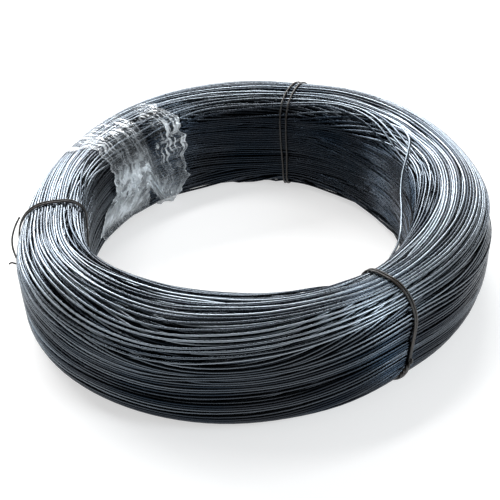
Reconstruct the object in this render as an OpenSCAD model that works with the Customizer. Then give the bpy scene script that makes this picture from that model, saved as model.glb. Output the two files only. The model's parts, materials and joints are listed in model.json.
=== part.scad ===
// Coil of black annealed steel wire, lying flat: a turned ring of wire turns with an open
// bore, three doubled tie wires twisted shut on its outer side, and a sleeve of clear film.
// Millimetres, +Z up, origin on the coil's axis at the floor.

/* [Wire] */
// Diameter of the drawn wire
wire_d = 2.5; // [1.6:0.1:4]

/* [Coil] */
// Outside diameter over the turns
coil_od = 500; // [420:2:620]
// Width of the pile of turns, from the open bore to the outside
coil_w = 82; // [70:1:100]
// Height of the coil as it lies
coil_h = 122; // [100:1:180]
// Rounding of the section at the top of the bore
bore_top_r = 22; // [12:1:30]
// Rounding of the section at the bottom of the bore
bore_bottom_r = 16; // [12:1:26]
// Rounding of the section at the outer top shoulder
shoulder_r = 42; // [20:1:46]
// Rounding of the section at the outer bottom edge
skirt_r = 32; // [16:1:46]

/* [Ties] */
// Diameter of the tie wire
tie_d = 2; // [1.4:0.1:2.6]
// Place of the left tie round the coil, in degrees
tie_left_deg = 187; // [180:1:200]
// Place of the rear tie round the coil, in degrees
tie_rear_deg = 71; // [60:1:85]
// Place of the right tie round the coil, in degrees
tie_right_deg = 305; // [290:1:320]
// Distance between the two strands of the left and right ties
tie_close_pitch = 1.9; // [1.3:0.1:2.4]
// Distance between the two strands of the rear tie
tie_open_pitch = 7; // [4:0.5:10]
// Length of the twisted tail of a tie
tail_len = 26; // [16:1:40]
// Height of the left tie's tail above the floor
tail_left_z = 60; // [46:1:70]
// Height of the rear tie's tail above the floor
tail_rear_z = 54; // [46:1:70]
// Height of the right tie's tail above the floor
tail_right_z = 46; // [46:1:70]

/* [Film] */
// Where the film starts round the coil, in degrees
film_start_deg = 114; // [100:1:125]
// How far the film reaches round the coil, in degrees
film_arc_deg = 45; // [20:1:48]
// Thickness of the wrapped film layers
film_t = 0.8; // [0.4:0.1:1.4]

/* [Hidden] */
$fn = 96;

wire_r = wire_d / 2;
coil_r = coil_od / 2;
bore_r = coil_r - coil_w;
tie_r = tie_d / 2;

// Share of the wire's diameter from one turn to the next, as turns bed into each other
turn_pitch_share = 0.97;
// Half the angle of a turn's round that its flat crown stands for
crown_half_deg = 25;
// Share of a side of the section that the two roundings on it may take up
round_room_share = 0.95;
// How far a tie stands proud of the turns at the top and outside
tie_proud = 1;
// How far the ties and the film lie behind the bore's wall and above the floor
sunk = 0.2;
// Air between a tie or the film and the turns that it lies on
seat_gap = 0.3;
// Air beside the strands of a tie
side_gap = 0.6;
// Share of the tie wire's diameter between the two strands of a twisted tail
twist_pitch_share = 0.96;
// Length of a twisted tail in which the strands go once round each other
twist_lead = 11;
// Share of a tail that lies behind its tie
tail_back_share = 0.2;
// Sides and steps of a twisted tail
tail_sides = 8;
tail_steps = 20;
// How far a cut runs past what it cuts
overrun = 4;

// Section outlines: a rounded rectangle [inner radius, outer radius, bottom, top] and the four
// corner roundings in the order skirt, shoulder, bore top, bore bottom, drawn in by an inset.
function drawn_in(bounds, inset) =
    [bounds[0] + inset, bounds[1] - inset, bounds[2] + inset, bounds[3] - inset];
// Where a side is too short for its two roundings, all four shrink alike.
round_fit = min(1, round_room_share * min(
    coil_w / (shoulder_r + bore_top_r), coil_w / (skirt_r + bore_bottom_r),
    coil_h / (shoulder_r + skirt_r), coil_h / (bore_top_r + bore_bottom_r)));
function roundings(inset) =
    [for (r = [skirt_r, shoulder_r, bore_top_r, bore_bottom_r]) r * round_fit - inset];

// Each corner is [centre radius, centre height, rounding, start angle].
function corners(b, r) = [
    [b[1] - r[0], b[2] + r[0], r[0], -90],
    [b[1] - r[1], b[3] - r[1], r[1], 0],
    [b[0] + r[2], b[3] - r[2], r[2], 90],
    [b[0] + r[3], b[2] + r[3], r[3], 180],
];
function on_corner(c, turn) =
    [c[0] + c[2] * cos(c[3] + turn), c[1] + c[2] * sin(c[3] + turn)];
function corner_start(c) = on_corner(c, 0);
function corner_end(c) = on_corner(c, 90);

// An outline as spans: each corner's arc, then the straight to the next corner.
// A span is [length, corner, next corner], and an arc has no next corner.
function spans(cs) = [
    for (i = [0 : 3])
        let (c = cs[i], n = cs[(i + 1) % 4])
        each [[c[2] * PI / 2, c, undef], [norm(corner_start(n) - corner_end(c)), c, n]]
];
function span_total(sp, i = 0) = i == len(sp) ? 0 : sp[i][0] + span_total(sp, i + 1);

// The place at a distance along an outline, as [point, outward angle]
function outline_at(sp, s, i = 0) =
    s > sp[i][0] && i < len(sp) - 1 ? outline_at(sp, s - sp[i][0], i + 1)
    : let (c = sp[i][1], n = sp[i][2], part = s / sp[i][0])
      n == undef ? [on_corner(c, 90 * part), c[3] + 90 * part]
      : [corner_end(c) * (1 - part) + corner_start(n) * part, c[3] + 90];

// The point that lies off a place, so far along the outline and so far outwards
function off_place(at, along, out) =
    at[0] + along * [-sin(at[1]), cos(at[1])] + out * [cos(at[1]), sin(at[1])];

// The outermost turns, side by side all round the section: each shows a flat crown, which lies on
// the coil's outline, and two flanks that fall to the valleys where it beds on its neighbours
coil_bounds = [bore_r, coil_r, 0, coil_h];
crown_rise = wire_r * cos(crown_half_deg);
crown_half_w = wire_r * sin(crown_half_deg);
turn_spans = spans(corners(drawn_in(coil_bounds, crown_rise), roundings(crown_rise)));
turn_run = span_total(turn_spans);
turn_count = ceil(turn_run / (wire_d * turn_pitch_share));
turn_pitch = turn_run / turn_count;
valley_rise = sqrt(wire_r * wire_r - turn_pitch * turn_pitch / 4);
turn_outline = [
    for (i = [0 : turn_count - 1])
        let (
            valley = outline_at(turn_spans, i * turn_pitch),
            crown = outline_at(turn_spans, (i + 0.5) * turn_pitch)
        )
        each [
            off_place(valley, 0, valley_rise),
            off_place(crown, -crown_half_w, crown_rise),
            off_place(crown, crown_half_w, crown_rise),
        ]
];

// The centre line of a tie's strand round the section, and the film's outer face
tie_bounds = [bore_r + sunk + tie_r, coil_r + tie_proud - tie_r, sunk + tie_r, coil_h + tie_proud - tie_r];
film_bounds = [bore_r + sunk, coil_r, sunk, coil_h];

// A rounded section outline, filled: a plain middle and a quarter disc in each corner
module filled_outline(bounds, inset) {
    cs = corners(drawn_in(bounds, inset), roundings(inset));
    polygon([for (c = cs) each [corner_start(c), corner_end(c)]]);
    for (c = cs)
        translate([c[0], c[1]]) rotate(c[3])
            intersection() {
                circle(r = c[2]);
                square(c[2]);
            }
}

// What lies outside a rounded section outline, as far as the coil reaches and an overrun more
module outside_outline(bounds, inset) {
    difference() {
        translate([bore_r - overrun, -overrun])
            square([coil_w + 2 * overrun, coil_h + 2 * overrun]);
        filled_outline(bounds, inset);
    }
}

// A sector of a turned section, centred on an angle
module sector(middle_deg, width_deg) {
    rotate([0, 0, middle_deg - width_deg / 2]) rotate_extrude(angle = width_deg) children();
}

// The bed that a tie presses into the turns, as wide as its strands
module tie_bed(at_deg, pitch) {
    half_width = pitch / 2 + tie_r + side_gap;
    sector(at_deg, 2 * atan(half_width / bore_r)) outside_outline(tie_bounds, tie_r + seat_gap);
}

module film_bed() {
    sector(film_start_deg + film_arc_deg / 2, film_arc_deg + 2 * atan(side_gap / bore_r))
        outside_outline(film_bounds, film_t + seat_gap);
}

// One strand of a tie: straights and quarter rings along the outline, in the plane y = 0
module strand_loop() {
    cs = corners(tie_bounds, roundings(tie_r));
    for (i = [0 : 3]) {
        c = cs[i];
        n = cs[(i + 1) % 4];
        run = corner_start(n) - corner_end(c);
        translate([c[0], 0, c[1]]) rotate([90, 0, 0]) rotate([0, 0, c[3]])
            rotate_extrude(angle = 90) translate([c[2], 0]) circle(d = tie_d);
        translate([corner_end(c)[0], 0, corner_end(c)[1]])
            rotate([0, 90 - atan2(run[1], run[0]), 0]) cylinder(d = tie_d, h = norm(run));
    }
}

// The two ends of a tie twisted together, laid along the coil's outer side from y = 0 to its length
module twisted_tail() {
    twist_deg = 360 * tail_len / twist_lead;
    rotate([-90, 0, 0])
        linear_extrude(height = tail_len, twist = twist_deg, slices = tail_steps, $fn = tail_sides)
            for (side = [-1, 1])
                translate([side * tie_r * twist_pitch_share, 0]) circle(d = tie_d);
}

// A tie: two strands round the coil's section, closed by a twisted tail
module tie_wire(at_deg, pitch, tail_z) {
    rotate([0, 0, at_deg]) {
        for (side = [-1, 1]) translate([0, side * pitch / 2, 0]) strand_loop();
        translate([coil_r + seat_gap + tie_d, -pitch / 2 - tail_len * tail_back_share, tail_z])
            twisted_tail();
    }
}

module wire_coil() {
    color("#2c2f34")
        difference() {
            rotate_extrude() polygon(turn_outline);
            tie_bed(tie_left_deg, tie_close_pitch);
            tie_bed(tie_rear_deg, tie_open_pitch);
            tie_bed(tie_right_deg, tie_close_pitch);
            film_bed();
        }
}

module tie_wire_left() {
    color("#3a3532") tie_wire(tie_left_deg, tie_close_pitch, tail_left_z);
}

module tie_wire_rear() {
    color("#3a3532") tie_wire(tie_rear_deg, tie_open_pitch, tail_rear_z);
}

module tie_wire_right() {
    color("#3a3532") tie_wire(tie_right_deg, tie_close_pitch, tail_right_z);
}

module film_wrap() {
    color([0.86, 0.90, 0.93, 0.35])
        sector(film_start_deg + film_arc_deg / 2, film_arc_deg)
            difference() {
                filled_outline(film_bounds, 0);
                filled_outline(film_bounds, film_t);
            }
}

wire_coil();
tie_wire_left();
tie_wire_rear();
tie_wire_right();
film_wrap();
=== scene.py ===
import json
import math

import bpy
import numpy as np
from mathutils import Matrix, Vector


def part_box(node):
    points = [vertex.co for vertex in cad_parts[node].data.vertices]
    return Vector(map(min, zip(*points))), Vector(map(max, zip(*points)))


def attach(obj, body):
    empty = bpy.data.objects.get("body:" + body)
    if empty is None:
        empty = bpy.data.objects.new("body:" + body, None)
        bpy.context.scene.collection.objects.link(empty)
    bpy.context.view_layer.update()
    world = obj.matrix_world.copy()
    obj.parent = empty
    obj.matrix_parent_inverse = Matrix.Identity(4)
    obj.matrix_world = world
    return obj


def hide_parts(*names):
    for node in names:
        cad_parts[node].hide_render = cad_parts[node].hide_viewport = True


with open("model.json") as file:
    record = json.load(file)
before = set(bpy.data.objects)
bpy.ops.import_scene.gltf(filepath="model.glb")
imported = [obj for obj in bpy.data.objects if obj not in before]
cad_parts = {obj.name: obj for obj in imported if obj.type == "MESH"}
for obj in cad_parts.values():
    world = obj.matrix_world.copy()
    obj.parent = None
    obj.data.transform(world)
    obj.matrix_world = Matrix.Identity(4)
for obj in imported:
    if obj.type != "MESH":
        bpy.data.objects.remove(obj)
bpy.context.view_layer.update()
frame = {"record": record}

MM = 0.001
SEED = 3
rng = np.random.default_rng(SEED)

# The coil's sizes, from the frame, with its wire and the roundings of its section
COIL_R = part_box("wire_coil")[1].x
COIL_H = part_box("wire_coil")[1].z
BORE_MOUNT = next(mount for mount in frame["record"]["mounts"] if mount["name"] == "coil_bore")
BORE_R = BORE_MOUNT["dims"]["r_mm"] * MM
WIRE_R = 1.25 * MM
WIRE_D = 2 * WIRE_R
SKIRT_R = 32 * MM
SHOULDER_R = 42 * MM
BORE_TOP_R = 22 * MM
BORE_FOOT_R = 15 * MM
ROUNDING_POINTS = 25

# The winding: stations round the coil, places round its section, and the depth that loose turns fill
STATIONS = 120
PLACES = 300
ANGLES = np.arange(STATIONS) * 2 * math.pi / STATIONS
TURN_DEPTH = 11 * MM
TOP_CENTRE = TURN_DEPTH - WIRE_R
TURN_LIMIT = 540
ROOM_LEAST = 1.2 * MM

# A bundle of turns: how many it may have, harmonics that it drifts by, and how its turns are spaced
BUNDLE_TURNS = (4, 15)
BUNDLE_DRIFT = ((1, 6 * MM), (2, 5 * MM), (3, 3.5 * MM), (4, 2 * MM), (6, 1 * MM))
BUNDLE_SWEEP_SHARES = (0.7, 1.2)
BUNDLE_FAN_SHARE = 0.25
SPACING_SHARE = 1.12
SPACING_SPREAD_SHARE = 0.22
TURN_WAVER = ((5, 0.2 * MM), (8, 0.06 * MM))

# How a turn rests on others: how near it beds, the stations that it bridges, and what it keeps of overfill
BED_SHARE = 0.98
BRIDGE_REACH = 3
BRIDGE_EASE = 8
OVERFILL_SHARE = 0.55

# How turns that press into each other are eased apart: rounds, neighbours, and shares moved in a round
EASE_ROUNDS = 60
EASE_NEIGHBOURS = 14
EASE_REACH = 4
EASE_SHARE = 0.35
SINK_SHARE = 0.2
RISE_SHARE = 0.5
LEAST_LENGTH = 1e-9

# The pile's foot in the bore: how high it reaches, and how far and how steeply the hidden turns fill it
FOOT_H = 30 * MM
FOOT_FILL = 8 * MM
FOOT_STEEPNESS = 1.3

# The turns as tubes: their pieces from the bore's foot round, their sides, and how deep they still show
TURN_PIECES = ("foot_turns", "skirt_turns", "side_turns", "crown_turns", "bore_turns")
TUBE_SIDES = 6
SHOWN_DEPTH = 2.4 * WIRE_D
MAP_ROW_SHARE = 0.9

# Where the pile swells or is drawn in: centre and width in degrees, shift at the top and at the bottom
SWELLS = (
    (50, 23, 17 * MM, 5 * MM),
    (105, 26, 18 * MM, 6 * MM),
    (160, 23, -34 * MM, -20 * MM),
    (232, 26, 2 * MM, 2 * MM),
    (300, 30, -3 * MM, -13 * MM),
    (350, 14, 5 * MM, 5 * MM),
)

# Where the pile's inner side is drawn back: centre and width in degrees, shift at the top and at the bottom
DRAWN_BACK = (
    (340, 24, 6 * MM, -4 * MM),
    (300, 22, 21 * MM, 0.0),
    (240, 26, 7 * MM, 0.0),
    (187, 13, -4 * MM, 5 * MM),
    (212, 14, 9 * MM, 9 * MM),
    (160, 18, 0.0, 6 * MM),
    (28, 18, 0.0, -5 * MM),
    (125, 40, 0.0, 8 * MM),
)

# How far the turns are carried round the section, inwards over the top, at angles in degrees
SWEEP_DEGS = (0, 20, 60, 120, 187, 213, 250, 275, 306, 335)
SWEEP_RUNS = np.array((-4, 0, 0, 0, 4, 0, -13, -9, 11, 2)) * MM
SWEEP_EASE = 4

# Where turns part and leave a dark gap: centre and width in degrees, share of the way round, gap
PARTINGS = (
    (235, 38, 0.50, 7 * MM),
    (313, 24, 0.39, 6 * MM),
    (40, 30, 0.58, 5 * MM),
    (285, 30, 0.30, 4 * MM),
    (262, 34, 0.43, 4 * MM),
)
PARTING_REACH = 42 * MM
PARTING_EDGE = 5.6 * MM

# The skin of a turn: how dark the painted shade on its flanks is, how narrow the painted highlight on its
# crown, and how its tone varies along the turn
FLANK_SHADE = 0.1
CROWN_HIGHLIGHT_POWER = 1.4
TONE_POWER = 0.95
TONE_WAVES = (3, 9)
TONE_WAVE_SHARE = 0.35

# Painted light on the turns, brighter where they face up: the least, where it starts and how soon it is full,
# and painted shade in the bore
SHADED_TONE = 0.15
PAINTED_LIGHT_START = 0.2
PAINTED_LIGHT_SPAN = 0.8
BORE_SHADE_SHARE = 0.8
BORE_PAINTED_SHADE = 0.11

# Painted reflection makes the left side brighter and more even, and painted shade makes the rear darker:
# centres and widths in degrees, and shares
LEFT_SIDE = (176, 26)
LEFT_PAINTED_LIGHT = 0.7
LEFT_BORE_SHARE = 0.75
LEFT_TONE = 0.62
LEFT_EVEN_SHARE = 0.6
REAR_SIDE = (75, 32)
REAR_PAINTED_SHADE_SHARE = 0.3

# The ties: where they are round the coil, their wire, and how they pinch the pile
TIE_R = 1.0 * MM
TIE_LEFT_DEG = 187
TIE_REAR_DEG = 71
TIE_RIGHT_DEG = 305
TIE_DEGS = (TIE_LEFT_DEG, TIE_REAR_DEG, TIE_RIGHT_DEG)
TIE_PINCH = 2.5 * MM
TIE_PINCH_DEG = 7
TIE_STEPS = 240
NEAR_STATIONS = 1.5
WIRE_BEVELS = 2

# How the two strands of a tie wander from their distance, as shares of it
STRAND_SWING_SHARE = 0.45
STRAND_RIPPLE_SHARE = 0.1
STRAND_RIPPLES = 5

# Tails of the ties: degrees from the tie, millimetres off the turns and over the floor, at listed points
TAIL_LEFT = (
    (0.0, 1.2, 108), (0.2, 4, 98), (0.6, 6, 86), (1.0, 6.5, 75), (1.4, 5, 65), (1.7, 3.5, 58),
    (1.6, 6, 56), (1.3, 10, 57), (1.0, 13, 55),
)
TAIL_REAR = ((0, 2, 62), (2, 2, 56), (4, 2, 50), (6, 3, 46))
TAIL_RIGHT = ((0, 2, 40), (-1.0, 2.5, 35), (-2.5, 3, 31), (-4.0, 4, 29))
TAIL_LEAD = 9 * MM
TAIL_DIVISIONS = 12
TAIL_REACH = 3 * WIRE_D

# Each tie: name, node, place and lean in degrees, distance of its strands, tail, and if the tail is twisted
TIES = (
    ("left_tie", "tie_wire_left", TIE_LEFT_DEG, 0, 2.6 * MM, TAIL_LEFT, False),
    ("rear_tie", "tie_wire_rear", TIE_REAR_DEG, 2.5, 5.5 * MM, TAIL_REAR, True),
    ("right_tie", "tie_wire_right", TIE_RIGHT_DEG, -4, 2.1 * MM, TAIL_RIGHT, True),
)

# A slack turn on the right: how bright its skin is, and degrees, radius and height in millimetres
STRAY_TONE = 0.5
STRAY_DIVISIONS = 10
STRAY_ROUTE = (
    (26, 196, 121), (17, 188, 122), (10, 176, 117), (4, 166, 107), (-3, 161, 97), (-13, 161, 92),
    (-24, 165, 90), (-34, 172, 94), (-43, 180, 99), (-50, 190, 106), (-58, 200, 114),
)

# The film: its mesh, how it laps and lies on the turns and over the floor, and the size it was cut to
FILM_ACROSS = 84
FILM_ROUND = 190
FILM_LAP = 1.03
FILM_LAP_SHARE = 0.97
FILM_GAP = 0.5 * MM
FILM_FLOOR_GAP = 0.4 * MM
FILM_LOOP_DEGS = np.linspace(109, 165, 29)

# The film's two edges: degrees round the coil, at shares of the way round the section from its outer side
FILM_EDGE_SHARES = (0.0, 0.14, 0.23, 0.32, 0.40, 0.50, 0.58, 0.64, 0.68, 0.75, 1.0)
FILM_RIGHT_DEGS = (128, 127, 118, 117, 115, 114, 121, 126, 128, 128, 128)
FILM_LEFT_DEGS = (157, 159, 160, 160, 157, 152.5, 153, 160, 165, 160, 157)

# How ragged the film's edges are: cells of noise along it and across it, and degrees
FILM_RAGGED = (((14, 3), 4), ((46, 3), 3))

# How the film wavers between its edges: cells of noise across it and along it, degrees, and jitter of a point
FILM_WAVER_CELLS = (6, 12)
FILM_WAVER_DEG = 2
FILM_JITTER_DEG = 0.35

# Where the film is bunched on the inner side, and the fold below it: degrees, share, and their widths
FILM_BUNCH = (138, 0.56, 12, 0.042)
FILM_FOLD = (150, 0.66, 11, 0.022)

# Creases in the film: cells of noise across and along it, sharpness, and share of a full crease
FILM_CREASES = (((6, 14), 4, 1.0), ((14, 30), 3, 0.6))

# How high the film's facets and creases stand: all over, on the inner side, in the bunch and in the fold
FACET_H = 0.35 * MM
BUNCH_FACET_H = 2.5 * MM
CREASE_H = 0.7 * MM
INNER_CREASE_H = 1 * MM
BUNCH_CREASE_H = 5 * MM
FOLD_H = 2 * MM

# The inner side, as the shares where it fades in and out
INNER_FADE_IN = (0.36, 0.42)
INNER_FADE_OUT = (0.70, 0.64)

# The film's haze, milky film and partly painted glare: clear, at its edges, and in the bunch and the fold,
# even and in patches
CLEAR_HAZE = 0.03
EDGE_HAZE = 0.5
EDGE_WIDTH_SHARE = 0.012
BUNCH_FULL = 1.4
BUNCH_HAZE = (0.3, 0.65)
FOLD_HAZE = (0.55, 0.4)
HAZE_MOST = 0.95
PATCH_CELLS = (24, 64)
PATCH_FADE = (0.36, 0.50)
PATCH_FACET_SHARE = 0.3

# Where the film shows painted glare streaks: shares where that fades out to the inner side and to the outer,
# and what is left
STREAK_INNER_FADE = (0.44, 0.38)
STREAK_INNER_LEAST = 0.25
STREAK_OUTER_FADE = (0.16, 0.26)
STREAK_OUTER_LEAST = 0.3

# Painted glare streaks in the film: how fine across and along it, the noise where they start and are full,
# and their weight
FILM_GLARE_STREAKS = (
    (52, 8, 0.54, 0.62, 1.0),
    (5, 120, 0.57, 0.67, 0.5),
    (11, 26, 0.55, 0.65, 0.75),
)
FILM_GLARE_ALPHA = 0.85
FILM_WRINKLES = (40, 60, 0.2, 0.8)
FILM_WRINKLE_H = 1.5 * MM

# Colours of the finishes, and how far brown tints the wire
WIRE_OXIDE = (0.010, 0.018, 0.029, 1)
# The bright end of the wire's skin, reached by its random tone and by painted highlight
WIRE_BRIGHT_AND_LIT = (0.38, 0.435, 0.49, 1)
WIRE_BROWN = (0.090, 0.078, 0.072, 1)
WIRE_BROWN_SHARE = 0.22
TIE_OXIDE = (0.004, 0.0045, 0.005, 1)
TIE_BROWN = (0.026, 0.019, 0.014, 1)
FILM_TINT = (0.91, 0.96, 1.0, 1)
FLOOR_GREY = (0.55, 0.55, 0.55, 1)
WHITE = (1, 1, 1, 1)

# Roughness of the wire and the ties: plain, and what flecks and the tone with its painted light add
WIRE_ROUGHNESS = 0.2
WIRE_TONE_ROUGHNESS = 0.12
WIRE_FLECK_ROUGHNESS = 0.1
TIE_ROUGHNESS = 0.28
TIE_FLECK_ROUGHNESS = 0.2

# The mottling of an oxide skin: its outputs with their detail, its range of noise, and its two scales
MOTTLING = (("Patch", 3.0), ("Fleck", 2.0))
MOTTLING_RANGE = (0.35, 0.65)
WIRE_MOTTLING = (14, 260)
TIE_MOTTLING = (40, 500)

# Sockets of a Mix node that mixes colours
MIX_SHARE = 0
MIX_FIRST = 6
MIX_SECOND = 7
MIX_RESULT = 2

# The camera at the photograph's view, for an image of 500 pixels
CAMERA_ELEVATION = 0.617
CAMERA_DISTANCE = 0.9833
CAMERA_TARGET_Z = 0.0481
CAMERA_ROLL = -0.063
CAMERA_LENS = 65.27
CAMERA_SENSOR = 36
CAMERA_SHIFT = (0.0008, -0.0312)

# Softboxes: name, place, aim, size, watts and colour
SOFTBOXES = (
    ("key_softbox", (-0.6, 1.85, 1.5), (0, -0.05, 0.08), (3.6, 0.65), 116, (1, 1, 1)),
    ("top_softbox", (-0.35, 0.55, 2.2), (0, -0.1, 0.1), (1.8, 0.25), 20, (1, 1, 1)),
    ("side_softbox", (1.5, -1.0, 1.15), (-0.1, 0.1, 0.06), (0.6, 0.6), 18, (0.86, 0.94, 1.0)),
)

# The floor's glow near the coil and far off, and the world's level where it is seen and where it only lights
FLOOR_R = 4
FLOOR_SIDES = 96
FLOOR_PALING = (0.6, 2.2, 0.55, 1.0)
WALLS_PALING = (0.2, 0.34, 1.0, 0.1)
WORLD_LIGHT = 0.35


def bell(away):
    """One in the middle, and less on both sides"""
    return np.exp(-0.5 * away ** 2)


def ramp(values, start, end):
    """From 0 at the start to 1 at the end, and level past both"""
    return np.clip((values - start) / (end - start), 0, 1)


def degrees_from(deg):
    """How far each station is from an angle, in degrees either way"""
    return (np.degrees(ANGLES) - deg + 180) % 360 - 180


def bump_round(centre_deg, width_deg):
    """A bell round the coil, one at its centre"""
    return bell(degrees_from(centre_deg) / width_deg)


def share_across(radius):
    """How far a radius is on its way from the bore to the outside, as a share"""
    return (radius - BORE_R) / (COIL_R - BORE_R)


def in_space(radius, height, angle):
    """Points from their radius, height and angle round the coil"""
    return np.stack((radius * np.cos(angle), radius * np.sin(angle), height), axis=-1)


def smoothed(values, reach):
    """Values round the coil, each eased towards its neighbours within a reach of stations"""
    steps = range(-reach, reach + 1)
    weights = [math.exp(-2 * (k / reach) ** 2) for k in steps]
    return sum(w * np.roll(values, k, axis=0) for k, w in zip(steps, weights)) / sum(weights)


def bridged(height):
    """A stiff wire spans the hollows under it"""
    steps = range(-BRIDGE_REACH, BRIDGE_REACH + 1)
    return smoothed(np.max([np.roll(height, k) for k in steps], axis=0), BRIDGE_EASE)


def wave(harmonics):
    """A smooth wandering round the coil, from its harmonics"""
    total = np.zeros(STATIONS)
    for order, size in harmonics:
        total += size * rng.normal() * np.cos(order * ANGLES + rng.uniform(0, 2 * math.pi))
    return total


def section_outline(inset):
    """Radii and heights of even places round the section, drawn in by an inset, and the way round it"""
    quarter = np.radians(np.linspace(0, 90, ROUNDING_POINTS))
    inner, outer = BORE_R + inset, COIL_R - inset
    low, high = inset, COIL_H - inset
    skirt, shoulder = SKIRT_R - inset, SHOULDER_R - inset
    bore_top, bore_foot = BORE_TOP_R - inset, BORE_FOOT_R - inset
    corners = (
        (outer - skirt, low + skirt, skirt, -90),
        (outer - shoulder, high - shoulder, shoulder, 0),
        (inner + bore_top, high - bore_top, bore_top, 90),
        (inner + bore_foot, low + bore_foot, bore_foot, 180),
    )
    points = [(inner + bore_foot, low)]
    for centre_r, centre_z, rounding, start in corners:
        turned = quarter + math.radians(start)
        points += list(zip(centre_r + rounding * np.cos(turned), centre_z + rounding * np.sin(turned)))
    points = np.array(points)
    run = run_along(points)
    even = np.arange(PLACES) * run[-1] / PLACES
    return np.interp(even, run, points[:, 0]), np.interp(even, run, points[:, 1]), run[-1]


def run_along(points):
    """How far along a line each of its points is"""
    return np.concatenate(([0], np.cumsum(np.linalg.norm(np.diff(points, axis=0), axis=1))))


def pile_core():
    """The core that the loose turns are laid on: points and outward directions at each station and place"""
    radii, heights, run = section_outline(TURN_DEPTH)
    across = share_across(radii)
    up = heights / COIL_H
    shift = np.zeros((STATIONS, PLACES))
    for bumps, weight in ((SWELLS, across ** 2), (DRAWN_BACK, 1 - across)):
        for centre, width, top, bottom in bumps:
            shift += bump_round(centre, width)[:, None] * (bottom + (top - bottom) * up) * weight
    pinch = sum(bump_round(deg, TIE_PINCH_DEG) for deg in TIE_DEGS)[:, None] * TIE_PINCH
    core = np.empty((STATIONS, PLACES, 2))
    core[..., 0] = radii + shift - pinch * (2 * across - 1)
    core[..., 1] = heights - pinch * (2 * up - 1)
    along = np.roll(core, -1, axis=1) - np.roll(core, 1, axis=1)
    out = np.stack((along[..., 1], -along[..., 0]), axis=-1)
    return core, out / np.linalg.norm(out, axis=-1, keepdims=True), run


def at_places(field, places, run):
    """A field's values at a distance round the section, one for each station"""
    index = places / run * PLACES
    low = np.floor(index).astype(int)
    part = (index - low)[:, None]
    rows = np.arange(STATIONS)
    return field[rows, low % PLACES] * (1 - part) + field[rows, (low + 1) % PLACES] * part


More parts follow.
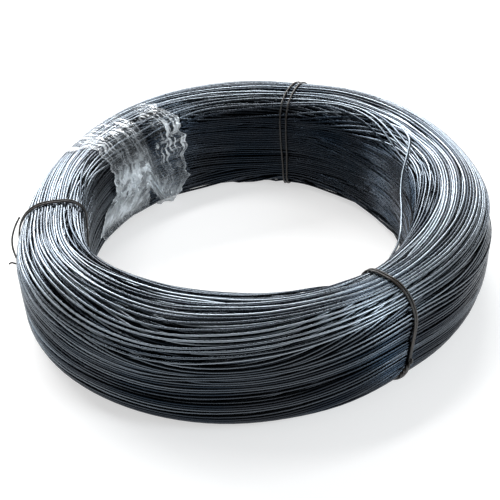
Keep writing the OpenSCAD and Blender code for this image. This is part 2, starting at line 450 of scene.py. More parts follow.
class Pile:
    """The turns laid so far, with the height of the pile over the core"""

    def __init__(self):
        self.core, self.out, self.run = pile_core()
        self.centres = np.empty((TURN_LIMIT, STATIONS, 2))
        self.outs = np.empty((TURN_LIMIT, STATIONS, 2))
        self.places = np.empty((TURN_LIMIT, STATIONS))
        self.heights = np.empty((TURN_LIMIT, STATIONS))
        self.top = np.zeros((STATIONS, PLACES))
        self.count = 0
        self.bins = np.arange(PLACES) * self.run / PLACES

    def lay(self, places):
        """Lays one turn along its places, on top of the turns under it"""
        base = at_places(self.core, places, self.run)
        out = at_places(self.out, places, self.run)
        out /= np.linalg.norm(out, axis=-1, keepdims=True)
        height = self.resting_height(base, out)
        centre = base + out * height[:, None]
        centre[:, 1] = np.maximum(centre[:, 1], WIRE_R)
        centre[:, 0] = np.maximum(centre[:, 0], BORE_R + WIRE_R)
        n = self.count
        self.centres[n], self.outs[n], self.places[n], self.heights[n] = centre, out, places, height
        self.count += 1
        away = np.abs((self.bins - places[:, None] + self.run / 2) % self.run - self.run / 2)
        crown = np.where(away < WIRE_D, height[:, None] + WIRE_R * np.cos(away / WIRE_D * math.pi / 2), 0)
        self.top = np.maximum(self.top, crown)

    def resting_height(self, base, out):
        """How high over its base a turn comes to rest at each station"""
        height = np.full(STATIONS, WIRE_R)
        if self.count:
            apart = base - self.centres[:self.count]
            along = (apart * out).sum(-1)
            reach = along ** 2 - (apart ** 2).sum(-1) + (BED_SHARE * WIRE_D) ** 2
            touching = np.where(reach > 0, np.sqrt(np.maximum(reach, 0)) - along, 0)
            height = np.maximum(height, touching.max(axis=0))
        height = bridged(height)
        return height - (1 - OVERFILL_SHARE) * np.maximum(height - TOP_CENTRE, 0)

    def ease_apart(self):
        """Turns that press into each other move apart, each as one stiff wire"""
        centres, outs = self.centres[:self.count], self.outs[:self.count]
        bases = centres - outs * self.heights[:self.count, :, None]
        order = np.argsort(self.places[:self.count] % self.run, axis=0)[..., None]
        for _ in range(EASE_ROUNDS):
            lined = np.take_along_axis(centres, order, axis=0)
            push = np.zeros_like(lined)
            for step in range(1, EASE_NEIGHBOURS + 1):
                apart = lined - np.roll(lined, -step, axis=0)
                distance = np.linalg.norm(apart, axis=-1, keepdims=True) + LEAST_LENGTH
                move = EASE_SHARE * np.maximum(WIRE_D / distance - 1, 0) * apart
                push += move
                push -= np.roll(move, step, axis=0)
            moved = np.zeros_like(push)
            np.put_along_axis(moved, order, push, axis=0)
            centres += smoothed(moved.swapaxes(0, 1), EASE_REACH).swapaxes(0, 1)
            height = ((centres - bases) * outs).sum(-1, keepdims=True)
            centres -= SINK_SHARE * outs * np.maximum(height - TOP_CENTRE, 0)
            centres += RISE_SHARE * outs * np.maximum(WIRE_R - height, 0)
            centres[..., 0] = np.maximum(centres[..., 0], self.foot_limit(centres))
            centres[..., 1] = np.maximum(centres[..., 1], WIRE_R)

    def foot_limit(self, centres):
        """How far into the bore turns may lie, which near the floor is no further than the pile's foot"""
        limit = np.full(centres.shape[:2], BORE_R + WIRE_R)
        outline = self.core + self.out * TOP_CENTRE
        for station, points in enumerate(outline):
            foot = points[(points[:, 0] < (BORE_R + COIL_R) / 2) & (points[:, 1] < FOOT_H)]
            foot = foot[np.argsort(foot[:, 1])]
            height = centres[:, station, 1]
            wall = np.interp(height, foot[:, 1], foot[:, 0])
            limit[:, station] = np.where(height < FOOT_H, np.maximum(wall, BORE_R + WIRE_R), BORE_R + WIRE_R)
        return limit

    def roomiest(self, path):
        """Where the pile is lowest along a path, and the room that is left there"""
        starts = np.arange(0, self.run, WIRE_D)
        tops = [at_places(self.top[..., None], start + path, self.run)[:, 0].mean() for start in starts]
        low = int(np.argmin(tops))
        return starts[low], TURN_DEPTH - tops[low]

    def near_centres(self, deg):
        """Centres of the turns at the stations nearest to an angle"""
        near = np.abs(degrees_from(deg)) < NEAR_STATIONS * 360 / STATIONS
        return self.centres[:self.count, near].reshape(-1, 2)

    def outer_radius(self, deg, height):
        """How far the turns reach out at an angle and a height"""
        points = self.near_centres(deg)
        return points[np.abs(points[:, 1] - height) < TAIL_REACH, 0].max() + WIRE_R

    def taut_loop(self, deg, room):
        """A loop pulled tight round the section near an angle: even points and their outward directions"""
        points = self.near_centres(deg)
        turned = np.linspace(0, 2 * math.pi, TIE_STEPS, endpoint=False)
        out = np.stack((np.cos(turned), np.sin(turned)), axis=-1)
        loop = points[np.argmax(points @ out.T, axis=0)] + room * out
        closed = np.vstack((loop, loop[:1]))
        run = run_along(closed)
        even = np.linspace(0, run[-1], TIE_STEPS, endpoint=False)
        angle = np.interp(even, run, np.concatenate((turned, [2 * math.pi])))
        place = np.stack([np.interp(even, run, closed[:, i]) for i in (0, 1)], axis=-1)
        return place, np.stack((np.cos(angle), np.sin(angle)), axis=-1)


def parted(places, run):
    """Places of a turn, moved off the gaps where turns part"""
    moved = places.copy()
    for centre, width, share, gap in PARTINGS:
        away = (places - share * run + run / 2) % run - run / 2
        near = bell(away / PARTING_REACH)
        moved += gap / 2 * np.tanh(away / PARTING_EDGE) * near * bump_round(centre, width)
    return moved


def wind_coil():
    """Bundles of turns, each laid where the pile is lowest until it is full, then eased apart"""
    pile = Pile()
    sweep = smoothed(np.interp(np.degrees(ANGLES), SWEEP_DEGS, SWEEP_RUNS, period=360), SWEEP_EASE)
    while pile.count < TURN_LIMIT:
        turns = int(rng.integers(*BUNDLE_TURNS))
        path = wave(BUNDLE_DRIFT) + sweep * rng.uniform(*BUNDLE_SWEEP_SHARES)
        steps = WIRE_D * (SPACING_SHARE + rng.exponential(SPACING_SPREAD_SHARE, turns))
        fan = 1 + rng.uniform(0, BUNDLE_FAN_SHARE) * np.cos(ANGLES + rng.uniform(0, 2 * math.pi))
        start, room = pile.roomiest(path + steps.sum() / 2 * fan)
        if room < ROOM_LEAST:
            break
        for offset in np.cumsum(steps)[:TURN_LIMIT - pile.count]:
            pile.lay(parted(start + path + offset * fan + wave(TURN_WAVER), pile.run))
    pile.ease_apart()
    return pile


def mesh_from_quads(name, co, quads):
    """A smooth mesh from its points and the four corners of each face"""
    mesh = bpy.data.meshes.new(name)
    mesh.vertices.add(len(co))
    mesh.vertices.foreach_set("co", np.ascontiguousarray(co, np.float32).ravel())
    mesh.loops.add(quads.size)
    mesh.loops.foreach_set("vertex_index", quads.ravel().astype(np.int32))
    mesh.polygons.add(len(quads))
    mesh.polygons.foreach_set("loop_start", np.arange(0, quads.size, 4, dtype=np.int32))
    mesh.update(calc_edges=True)
    mesh.validate()
    mesh.shade_smooth()
    return mesh


def ring_quads(turns, sides):
    """Faces of closed rings, with their points in order of turn, station and side"""
    turn, station, side = np.indices((turns, STATIONS, sides))
    def corner(step, turned):
        return (turn * STATIONS + (station + step) % STATIONS) * sides + (side + turned) % sides
    return np.stack((corner(0, 0), corner(1, 0), corner(1, 1), corner(0, 1)), axis=-1).reshape(-1, 4)


def mark_points(mesh, name, values):
    """Gives each point of a mesh a value that its material reads"""
    mark = mesh.attributes.new(name, "FLOAT", "POINT")
    mark.data.foreach_set("value", np.asarray(values, np.float32).ravel())


def map_turns(mesh, turns):
    """Unrolls the turns of a mesh into rows of its own map"""
    turn, station, side = np.indices((turns, STATIONS, TUBE_SIDES))
    u = np.stack([(station + step) / STATIONS for step in (0, 1, 1, 0)], axis=-1)
    rows = [turn + MAP_ROW_SHARE * (side + turned) / TUBE_SIDES for turned in (0, 0, 1, 1)]
    v = np.stack(rows, axis=-1) / turns
    layer = mesh.uv_layers.new(name="OFBake")
    layer.data.foreach_set("uv", np.stack((u, v), axis=-1).ravel().astype(np.float32))


def turn_mesh(name, centres, outs, tones_and_light):
    """Closed wire turns as one mesh: centres, outward directions and tones with painted light for each turn
    and station
    """
    around = np.arange(TUBE_SIDES) * 2 * math.pi / TUBE_SIDES
    across = np.stack((outs[..., 1], -outs[..., 0]), axis=-1)
    section = (
        centres[:, :, None]
        + WIRE_R * np.cos(around)[:, None] * outs[:, :, None]
        + WIRE_R * np.sin(around)[:, None] * across[:, :, None]
    )
    co = in_space(section[..., 0], section[..., 1], ANGLES[:, None])
    mesh = mesh_from_quads(name, co.reshape(-1, 3), ring_quads(len(centres), TUBE_SIDES))
    map_turns(mesh, len(centres))
    # Painted highlight on each wire's crown, and painted shade on its flanks where the wires meet
    crown = FLANK_SHADE + (1 - FLANK_SHADE) * np.clip(np.cos(around), 0, 1) ** CROWN_HIGHLIGHT_POWER
    mark_points(mesh, "tone_and_light", tones_and_light[..., None] * crown)
    return mesh


def finish_piece(piece, node, material):
    """A finished piece gets its material, rides on the coil and stands for a node"""
    piece.data.materials.clear()
    piece.data.materials.append(material)
    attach(piece, "root")
    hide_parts(node)


def add_coil_piece(mesh, material):
    """A piece of the coil from its mesh"""
    piece = bpy.data.objects.new(mesh.name, mesh)
    bpy.context.scene.collection.objects.link(piece)
    finish_piece(piece, "wire_coil", material)


def turn_tones_and_light(pile):
    """How bright each turn's skin is at each station: a random tone that varies along the turn, with painted
    light on top and on the left side, and painted shade in the bore and at the rear
    """
    count = pile.count
    up, inwards = pile.outs[:count, :, 1], np.minimum(pile.outs[:count, :, 0], 0)
    left = bump_round(*LEFT_SIDE)
    # Painted light, brighter where a turn faces up and on the left side, with painted shade in the bore
    painted_light = np.clip((up + PAINTED_LIGHT_START + LEFT_PAINTED_LIGHT * left) / PAINTED_LIGHT_SPAN, 0, 1)
    painted_light *= 1 + (BORE_SHADE_SHARE - LEFT_BORE_SHARE * left) * inwards
    least = SHADED_TONE + BORE_PAINTED_SHADE * (1 - left) * inwards
    tones_and_light = rng.uniform(0, 1, (count, 1)) ** TONE_POWER
    # Painted reflection evens out the tones on the left side
    tones_and_light = tones_and_light + LEFT_EVEN_SHARE * left * (LEFT_TONE - tones_and_light)
    # Painted shade at the rear
    tones_and_light *= 1 - REAR_PAINTED_SHADE_SHARE * bump_round(*REAR_SIDE)
    tones_and_light *= least + (1 - SHADED_TONE) * painted_light
    waves = rng.integers(*TONE_WAVES, (count, 1)) * ANGLES + rng.uniform(0, 2 * math.pi, (count, 1))
    return tones_and_light * (1 + TONE_WAVE_SHARE * np.cos(waves))


def make_turns(pile, material):
    """The turns that show, in pieces from the bore's foot round the section"""
    places = pile.places[:pile.count]
    bins = np.floor(places / pile.run * PLACES).astype(int) % PLACES
    cover = pile.top[np.arange(STATIONS), bins] - pile.heights[:pile.count]
    shown = np.flatnonzero(cover.min(axis=1) < SHOWN_DEPTH)
    order = shown[np.argsort(places[shown].mean(axis=1) % pile.run)]
    tones_and_light = turn_tones_and_light(pile)
    for name, group in zip(TURN_PIECES, np.array_split(order, len(TURN_PIECES))):
        mesh = turn_mesh(name, pile.centres[group], pile.outs[group], tones_and_light[group])
        add_coil_piece(mesh, material)


def make_inner_turns(pile, material):
    """The hidden turns under the ones that show, as one closed ring"""
    low = np.clip(-FOOT_STEEPNESS * pile.out[..., 1:], 0, 1)
    ring = pile.core + FOOT_FILL * low * pile.out
    co = in_space(ring[..., 0], ring[..., 1], ANGLES[:, None])
    add_coil_piece(mesh_from_quads("inner_turns", co.reshape(-1, 3), ring_quads(1, PLACES)), material)


def wire_curve(name, runs, radius):
    """Wires along lists of points, each with a flag that says if it is closed, made one mesh"""
    bpy.ops.object.select_all(action="DESELECT")
    bpy.ops.curve.primitive_bezier_curve_add()
    wire = bpy.context.object
    wire.name = name
    wire.data.splines.clear()
    for points, closed in runs:
        spline = wire.data.splines.new("POLY")
        spline.points.add(len(points) - 1)
        spline.points.foreach_set("co", np.column_stack((points, np.ones(len(points)))).ravel())
        spline.use_cyclic_u = closed
    wire.data.dimensions = "3D"
    wire.data.bevel_depth = radius
    wire.data.bevel_resolution = WIRE_BEVELS
    wire.data.use_fill_caps = True
    bpy.ops.object.convert(target="MESH")
    bpy.ops.object.shade_smooth()
    return wire


def smooth_route(points, divisions):
    """A smooth run through points, evenly divided between each two"""
    padded = np.vstack((2 * points[0] - points[1], points, 2 * points[-1] - points[-2]))
    part = np.linspace(0, 1, divisions, endpoint=False)[:, None]
    runs = []
    for before, first, second, after in zip(padded, padded[1:], padded[2:], padded[3:]):
        bend = 2 * before - 5 * first + 4 * second - after
        turn = 3 * (first - second) + after - before
        runs.append(first + 0.5 * part * (second - before + part * (bend + part * turn)))
    return np.vstack(runs + [points[-1:]])


def twisted_pair(middle):
    """Two strands wound round each other along a middle line"""
    along = np.vstack((np.diff(middle, axis=0), middle[-1:] - middle[-2:-1]))
    step = np.linalg.norm(along, axis=1)
    spin = 2 * math.pi * run_along(middle) / TAIL_LEAD
    out = middle * (1, 1, 0)
    out /= np.linalg.norm(out, axis=1, keepdims=True)
    side = np.cross(along / step[:, None], out)
    ring = np.cos(spin)[:, None] * side + np.sin(spin)[:, None] * out
    return [middle + TIE_R * ring, middle - TIE_R * ring]


def tail_route(pile, deg, tail):
    """The middle line of a tie's tail, off the turns beside it"""
    turned, off, high = np.array(tail, float).T
    surface = np.array([pile.outer_radius(deg + t, h * MM) for t, h in zip(turned, high)])
    return smooth_route(in_space(surface + off * MM, high * MM, np.radians(deg + turned)), TAIL_DIVISIONS)


def make_tie(pile, name, node, deg, lean_deg, apart, tail, twisted, material):
    """A doubled tie wire, taut round the turns, with a tail of one end or of both twisted together"""
    place, _ = pile.taut_loop(deg, WIRE_R + TIE_R)
    radius, height = place[:, 0], np.maximum(place[:, 1], TIE_R)
    angle = np.radians(deg + lean_deg * (1 - share_across(radius)))
    step = np.linspace(0, 2 * math.pi, TIE_STEPS, endpoint=False)
    runs = []
    for side in (-1, 1):
        swing = STRAND_SWING_SHARE * np.sin(step)
        ripple = STRAND_RIPPLE_SHARE * np.sin(STRAND_RIPPLES * step + side)
        beside = side * apart / 2 * (1 + swing + ripple)
        runs.append((in_space(radius, height, angle + beside / radius), True))
    middle = tail_route(pile, deg, tail)
    ends = twisted_pair(middle) if twisted else [middle]
    runs += [(end, False) for end in ends]
    finish_piece(wire_curve(name, runs, TIE_R), node, material)


def make_stray_turn(material):
    """A slack turn that cuts across the bore on the right"""
    degs, radii, heights = np.array(STRAY_ROUTE, float).T
    route = in_space(radii * MM, heights * MM, np.radians(degs))
    stray = wire_curve("stray_turn", [(smooth_route(route, STRAY_DIVISIONS), False)], WIRE_R)
    mark_points(stray.data, "tone_and_light", np.full(len(stray.data.vertices), STRAY_TONE))
    finish_piece(stray, "wire_coil", material)


def lattice_noise(u, v, cells_u, cells_v):
    """Smooth noise from 0 to 1 over a sheet, from a lattice of random values that closes on itself along v"""
    lattice = rng.random((cells_u + 2, cells_v))
    low_u = np.floor(u * cells_u).astype(int)
    low_v = np.floor(v * cells_v).astype(int)
    part_u, part_v = u * cells_u - low_u, v * cells_v - low_v
    part_u, part_v = part_u ** 2 * (3 - 2 * part_u), part_v ** 2 * (3 - 2 * part_v)
    near, far = low_v % cells_v, (low_v + 1) % cells_v
    first = lattice[low_u, near] * (1 - part_v) + lattice[low_u, far] * part_v
    second = lattice[low_u + 1, near] * (1 - part_v) + lattice[low_u + 1, far] * part_v
    return first * (1 - part_u) + second * part_u


def ridged(noise):
    """Sharp ridges where the noise crosses its middle"""
    return 1 - np.abs(2 * noise - 1)


def spot(degs, shares, middle):
    """A soft spot on the film, one at its middle"""
    deg, share, deg_width, share_width = middle
    return bell((degs - deg) / deg_width) * bell((shares - share) / share_width)


def flat_film():
    """The film as a flat grid, with the shares of the way across it and along it at its points"""
    bpy.ops.object.select_all(action="DESELECT")
    bpy.ops.mesh.primitive_grid_add(x_subdivisions=FILM_ACROSS, y_subdivisions=FILM_ROUND, size=1)
    film = bpy.context.object
    film.name = "crumpled_film"
    co = np.empty(len(film.data.vertices) * 3)
    film.data.vertices.foreach_get("co", co)
    across, along, _ = co.reshape(-1, 3).T
    return film, across + 0.5, along + 0.5


def film_degs(u, v):
    """Where the film's points are round the coil, between its two ragged edges"""
    right = np.interp(v, FILM_EDGE_SHARES, FILM_RIGHT_DEGS)
    left = np.interp(v, FILM_EDGE_SHARES, FILM_LEFT_DEGS)
    ragged = sum(size * (lattice_noise(v, u, *cells) - 0.5) for cells, size in FILM_RAGGED)
    waver = FILM_WAVER_DEG * (lattice_noise(u, v, *FILM_WAVER_CELLS) - 0.5)
    waver += FILM_JITTER_DEG * rng.uniform(-1, 1, len(u))
    return right + (left - right) * u + ragged * np.abs(2 * u - 1) + waver


def film_rest(pile, degs, shares):
    """Where tight film lies on the turns, and which way is out, at angles and shares round the section"""
    loops = [pile.taut_loop(deg, WIRE_R + FILM_GAP) for deg in FILM_LOOP_DEGS]
    places, outs = (np.array(field) for field in zip(*loops))
    column = np.interp(degs, FILM_LOOP_DEGS, np.arange(len(loops)))
    row = shares * FILM_LAP * TIE_STEPS
    first = np.minimum(np.floor(column).astype(int), len(loops) - 2)
    low = np.floor(row).astype(int)
    part, rise = (column - first)[:, None], (row - low)[:, None]
    def on_loop(field, loop):
        return field[loop, low % TIE_STEPS] * (1 - rise) + field[loop, (low + 1) % TIE_STEPS] * rise
    def between(field):
        return on_loop(field, first) * (1 - part) + on_loop(field, first + 1) * part
    return between(eased_loops(places)), between(outs)


def eased_loops(places):
    """Loops side by side, each eased towards its neighbours so that the film spans the turns' steps"""
    padded = np.concatenate((places[:1], places, places[-1:]))
    return (padded[:-2] + padded[1:-1] + padded[2:]) / 3


def film_lift(u, v, bunch, fold, facets):
    """How far the crumpled film stands off from where it would lie tight"""
    creases = 0
    for cells, sharpness, share in FILM_CREASES:
        creases = creases + share * ridged(lattice_noise(u, v, *cells)) ** sharpness
    inner = ramp(v, *INNER_FADE_IN) * ramp(v, *INNER_FADE_OUT)
    lift = facets * (FACET_H + BUNCH_FACET_H * bunch) + FOLD_H * fold
    lift += creases * (CREASE_H + INNER_CREASE_H * inner + BUNCH_CREASE_H * bunch)
    return lift + (v > FILM_LAP_SHARE) * FILM_GAP


def film_haze_and_glare(u, v, bunch, fold, facets):
    """How milky the film is, partly painted glare: at its edges, where it is bunched, and in the fold"""
    patches = ramp(lattice_noise(u, v, *PATCH_CELLS), *PATCH_FADE)
    # Patches that follow the random facets are painted glare
    patches *= 1 - PATCH_FACET_SHARE + PATCH_FACET_SHARE * facets
    haze_and_glare = CLEAR_HAZE + EDGE_HAZE * np.exp(-np.minimum(u, 1 - u) / EDGE_WIDTH_SHARE)
    for weight, (even, patched) in ((np.clip(BUNCH_FULL * bunch, 0, 1), BUNCH_HAZE), (fold, FOLD_HAZE)):
        haze_and_glare += weight * (even + patched * patches)
    return np.clip(haze_and_glare, 0, HAZE_MOST)


def film_glare_streaking(v):
    """How far painted glare streaks show on the film, which is most on top"""
    inner = np.maximum(ramp(v, *STREAK_INNER_FADE), STREAK_INNER_LEAST)
    outer = STREAK_OUTER_LEAST + (1 - STREAK_OUTER_LEAST) * ramp(v, *STREAK_OUTER_FADE)
    return inner * outer


def make_film(pile, material):
    """Clear film round the section, tight on top and outside, crumpled into a bunch on the inner side"""
    film, u, v = flat_film()
    degs = film_degs(u, v)
    place, out = film_rest(pile, degs, v)
    bunch, fold = spot(degs, v, FILM_BUNCH), spot(degs, v, FILM_FOLD)
    facets = rng.uniform(0, 1, len(u))
    radius, height = (place + out * film_lift(u, v, bunch, fold, facets)[:, None]).T
    co = in_space(radius, np.maximum(height, FILM_FLOOR_GAP), np.radians(degs))
    film.data.vertices.foreach_set("co", co.ravel())
    mark_points(film.data, "haze_and_glare", film_haze_and_glare(u, v, bunch, fold, facets))
    mark_points(film.data, "glare_streaked", film_glare_streaking(v))
    film.data.update()
    bpy.ops.object.mode_set(mode="EDIT")
    bpy.ops.mesh.select_all(action="SELECT")
    bpy.ops.mesh.quads_convert_to_tris(quad_method="SHORTEST_DIAGONAL")
    bpy.ops.mesh.normals_make_consistent(inside=False)
    bpy.ops.object.mode_set(mode="OBJECT")
    finish_piece(film, "film_wrap", material)


def ranged(nodes, links, value, low, high, first=0.0, last=1.0):
    """A value taken from one range to another, and level past its ends"""
    node = nodes.new("ShaderNodeMapRange")
    node.inputs["From Min"].default_value = low
    node.inputs["From Max"].default_value = high
    node.inputs["To Min"].default_value = first
    node.inputs["To Max"].default_value = last
    links.new(value, node.inputs["Value"])
    return node.outputs["Result"]


def product(nodes, links, first, second):
    """Two values multiplied"""
    node = nodes.new("ShaderNodeMath")
    node.operation = "MULTIPLY"
    links.new(first, node.inputs[0])
    links.new(second, node.inputs[1])
    return node.outputs["Value"]


def level_and_share(nodes, links, level, value, share):
    """A plain level with a share of a value added"""
    node = nodes.new("ShaderNodeMath")
    node.operation = "MULTIPLY_ADD"
    node.inputs[1].default_value = share
    node.inputs[2].default_value = level
    links.new(value, node.inputs[0])
    return node.outputs["Value"]


def summed(nodes, links, first, second, share):
    """One value with a share of another added, no more than one"""
    node = nodes.new("ShaderNodeMath")
    node.operation = "MULTIPLY_ADD"
    node.use_clamp = True
    node.inputs[1].default_value = share
    links.new(second, node.inputs[0])
    links.new(first, node.inputs[2])
    return node.outputs["Value"]


def color_mix(nodes, links, share, second):
    """A node that mixes its first colour with a second one by a share"""
    mix = nodes.new("ShaderNodeMix")
    mix.data_type = "RGBA"
    mix.inputs[MIX_SECOND].default_value = second
    links.new(share, mix.inputs[MIX_SHARE])
    return mix


def value_of(nodes, name):
    """The value that each point of a mesh was given under a name"""
    attribute = nodes.new("ShaderNodeAttribute")
    attribute.attribute_name = name
    return attribute.outputs["Fac"]


def new_material(name):
    """A material with its nodes, links and shader"""
    material = bpy.data.materials.new(name)
    material.use_nodes = True
    tree = material.node_tree
    return material, tree.nodes, tree.links, tree.nodes["Principled BSDF"]


def oxide_group():
    """Shared mottling of an oxide skin: broad patches, and fine flecks"""
    group = bpy.data.node_groups.new("oxide_mottling", "ShaderNodeTree")
    for name, _ in MOTTLING:
        group.interface.new_socket(name + " Scale", in_out="INPUT", socket_type="NodeSocketFloat")
        group.interface.new_socket(name, in_out="OUTPUT", socket_type="NodeSocketFloat")
    nodes, links = group.nodes, group.links
    given, made = nodes.new("NodeGroupInput"), nodes.new("NodeGroupOutput")
    place = nodes.new("ShaderNodeTexCoord")
    for name, detail in MOTTLING:
        noise = nodes.new("ShaderNodeTexNoise")
        noise.inputs["Detail"].default_value = detail
        links.new(place.outputs["Object"], noise.inputs["Vector"])
        links.new(given.outputs[name + " Scale"], noise.inputs["Scale"])
        links.new(ranged(nodes, links, noise.outputs["Fac"], *MOTTLING_RANGE), made.inputs[name])
    return group


def mottled(nodes, oxide, patch_scale, fleck_scale):
    """The oxide's mottling at its own scales"""
    mottle = nodes.new("ShaderNodeGroup")
    mottle.node_tree = oxide
    mottle.inputs["Patch Scale"].default_value = patch_scale
    mottle.inputs["Fleck Scale"].default_value = fleck_scale
    return mottle


def black_wire_material(oxide):
    """Black annealed wire: dark oxide, brighter by its random tone and by painted highlight on the crowns and
    tops, with a tint of brown in patches
    """
    material, nodes, links, shader = new_material("black_annealed_wire")
    shader.inputs["Metallic"].default_value = 1.0
    mottle = mottled(nodes, oxide, *WIRE_MOTTLING)
    tone_and_light = value_of(nodes, "tone_and_light")
    # The skin's colour carries the painted highlight and shade of the tone attribute
    skin = color_mix(nodes, links, tone_and_light, WIRE_BRIGHT_AND_LIT)
    skin.inputs[MIX_FIRST].default_value = WIRE_OXIDE
    brown = level_and_share(nodes, links, 0.0, mottle.outputs["Patch"], WIRE_BROWN_SHARE)
    tinted = color_mix(nodes, links, brown, WIRE_BROWN)
    links.new(skin.outputs[MIX_RESULT], tinted.inputs[MIX_FIRST])
    links.new(tinted.outputs[MIX_RESULT], shader.inputs["Base Color"])
    rough = level_and_share(nodes, links, WIRE_ROUGHNESS, tone_and_light, WIRE_TONE_ROUGHNESS)
    rough = summed(nodes, links, rough, mottle.outputs["Fleck"], WIRE_FLECK_ROUGHNESS)
    links.new(rough, shader.inputs["Roughness"])
    return material


def tie_wire_material(oxide):
    """Black tie wire with a dull skin, browned here and there"""
    material, nodes, links, shader = new_material("tie_wire")
    shader.inputs["Specular IOR Level"].default_value = 0.6
    mottle = mottled(nodes, oxide, *TIE_MOTTLING)
    skin = color_mix(nodes, links, mottle.outputs["Patch"], TIE_BROWN)
    skin.inputs[MIX_FIRST].default_value = TIE_OXIDE
    links.new(skin.outputs[MIX_RESULT], shader.inputs["Base Color"])
    rough = level_and_share(nodes, links, TIE_ROUGHNESS, mottle.outputs["Fleck"], TIE_FLECK_ROUGHNESS)
    links.new(rough, shader.inputs["Roughness"])
    return material


def streaks(nodes, links, across, along, low, high):
    """Marks on the film that are as fine as given across it and along it, from a stretched noise"""
    place = nodes.new("ShaderNodeUVMap")
    place.uv_map = "UVMap"
    stretch = nodes.new("ShaderNodeMapping")
    stretch.inputs["Scale"].default_value = (across, along, 1)
    noise = nodes.new("ShaderNodeTexNoise")
    noise.inputs["Scale"].default_value = 1
    noise.inputs["Detail"].default_value = 3
    noise.inputs["Distortion"].default_value = 0.35
    links.new(place.outputs["UV"], stretch.inputs["Vector"])
    links.new(stretch.outputs["Vector"], noise.inputs["Vector"])
    return ranged(nodes, links, noise.outputs["Fac"], low, high)


def clear_film_material():
    """Clear film with wrinkles: thin streaks of painted glare, and milky where it is bunched, partly painted
    glare
    """
    material, nodes, links, shader = new_material("clear_film")
    shader.inputs["Base Color"].default_value = FILM_TINT
    shader.inputs["Roughness"].default_value = 0.1
    shader.inputs["Specular IOR Level"].default_value = 1.0
    glare_lines = None
    # Painted glare: white streaks that stand for light caught on the film
    for across, along, low, high, share in FILM_GLARE_STREAKS:
        marks = streaks(nodes, links, across, along, low, high)
        glare_lines = summed(nodes, links, glare_lines, marks, share) if glare_lines else marks
    shown = product(nodes, links, glare_lines, value_of(nodes, "glare_streaked"))
    alpha = summed(nodes, links, value_of(nodes, "haze_and_glare"), shown, FILM_GLARE_ALPHA)
    links.new(alpha, shader.inputs["Alpha"])
    wrinkle = nodes.new("ShaderNodeBump")
    wrinkle.inputs["Strength"].default_value = 0.5
    wrinkle.inputs["Distance"].default_value = FILM_WRINKLE_H
    links.new(streaks(nodes, links, *FILM_WRINKLES), wrinkle.inputs["Height"])
    links.new(wrinkle.outputs["Normal"], shader.inputs["Normal"])
    return material


def seen_rays(nodes, links):
    """One for camera, glossy and transmission rays, which show the background"""
    path = nodes.new("ShaderNodeLightPath")
    found = path.outputs["Is Camera Ray"]
    for ray in ("Is Glossy Ray", "Is Transmission Ray"):
        either = nodes.new("ShaderNodeMath")
        either.operation = "MAXIMUM"
        links.new(found, either.inputs[0])
        links.new(path.outputs[ray], either.inputs[1])
        found = either.outputs["Value"]
    return found


def white_floor_material():
    """A pale floor that takes shadows, and glows where it is seen, to white far off"""
    material, nodes, links, shader = new_material("white_floor")
    nodes.remove(shader)
    diffuse = nodes.new("ShaderNodeBsdfDiffuse")
    diffuse.inputs["Color"].default_value = FLOOR_GREY
    glow = nodes.new("ShaderNodeEmission")
    place = nodes.new("ShaderNodeTexCoord")
    reach = nodes.new("ShaderNodeVectorMath")
    reach.operation = "LENGTH"
    both = nodes.new("ShaderNodeAddShader")
    links.new(place.outputs["Object"], reach.inputs[0])
    paling = ranged(nodes, links, reach.outputs["Value"], *FLOOR_PALING)
    links.new(product(nodes, links, seen_rays(nodes, links), paling), glow.inputs["Strength"])
    links.new(diffuse.outputs["BSDF"], both.inputs[0])
    links.new(glow.outputs["Emission"], both.inputs[1])
    links.new(both.outputs["Shader"], nodes["Material Output"].inputs["Surface"])
    return material


def make_floor():
    """The floor that the coil lies on, which is no part of it"""
    bpy.ops.object.select_all(action="DESELECT")
    bpy.ops.mesh.primitive_circle_add(vertices=FLOOR_SIDES, radius=FLOOR_R, fill_type="NGON")
    floor = bpy.context.object
    floor.name = "studio_floor"
    floor.data.materials.append(white_floor_material())


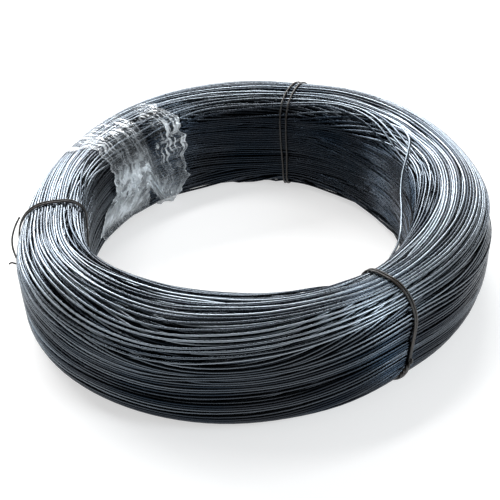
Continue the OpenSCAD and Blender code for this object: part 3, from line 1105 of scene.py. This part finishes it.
def make_world():
    """A white world, seen white near the horizon and dark above, so that the wire has something to reflect"""
    world = bpy.data.worlds.new("studio")
    bpy.context.scene.world = world
    world.use_nodes = True
    nodes, links = world.node_tree.nodes, world.node_tree.links
    background = nodes["Background"]
    background.inputs["Color"].default_value = WHITE
    place = nodes.new("ShaderNodeTexCoord")
    split = nodes.new("ShaderNodeSeparateXYZ")
    level = nodes.new("ShaderNodeMix")
    level.inputs["A"].default_value = WORLD_LIGHT
    links.new(place.outputs["Generated"], split.inputs["Vector"])
    links.new(seen_rays(nodes, links), level.inputs["Factor"])
    links.new(ranged(nodes, links, split.outputs["Z"], *WALLS_PALING), level.inputs["B"])
    links.new(level.outputs["Result"], background.inputs["Strength"])


def add_softbox(name, place, aim, size, power, color):
    """A softbox at a place, aimed at another"""
    bpy.ops.object.light_add(type="AREA", location=place)
    lamp = bpy.context.object
    lamp.name = name
    lamp.data.shape = "RECTANGLE"
    lamp.data.size, lamp.data.size_y = size
    lamp.data.energy = power
    lamp.data.color = color
    lamp.visible_camera = False
    direction = Vector(aim) - Vector(place)
    lamp.rotation_euler = direction.to_track_quat("-Z", "Y").to_euler()


def make_camera():
    """The camera, at the photograph's view of the coil"""
    target = Vector((0, 0, CAMERA_TARGET_Z))
    back = Vector((0, -math.cos(CAMERA_ELEVATION), math.sin(CAMERA_ELEVATION)))
    data = bpy.data.cameras.new("camera")
    data.lens = CAMERA_LENS
    data.sensor_width = CAMERA_SENSOR
    data.shift_x, data.shift_y = CAMERA_SHIFT
    camera = bpy.data.objects.new("camera", data)
    bpy.context.scene.collection.objects.link(camera)
    turn = back.to_track_quat("Z", "Y").to_matrix().to_4x4()
    place = Matrix.Translation(target + back * CAMERA_DISTANCE)
    camera.matrix_world = place @ turn @ Matrix.Rotation(CAMERA_ROLL, 4, "Z")
    bpy.context.scene.camera = camera


make_camera()
pile = wind_coil()
oxide = oxide_group()
wire_skin = black_wire_material(oxide)
make_inner_turns(pile, wire_skin)
make_turns(pile, wire_skin)
tie_skin = tie_wire_material(oxide)
for tie in TIES:
    make_tie(pile, *tie, tie_skin)
make_stray_turn(wire_skin)
make_film(pile, clear_film_material())
make_floor()
for softbox in SOFTBOXES:
    add_softbox(*softbox)
make_world()

bpy.context.scene.view_settings.view_transform = "Standard"
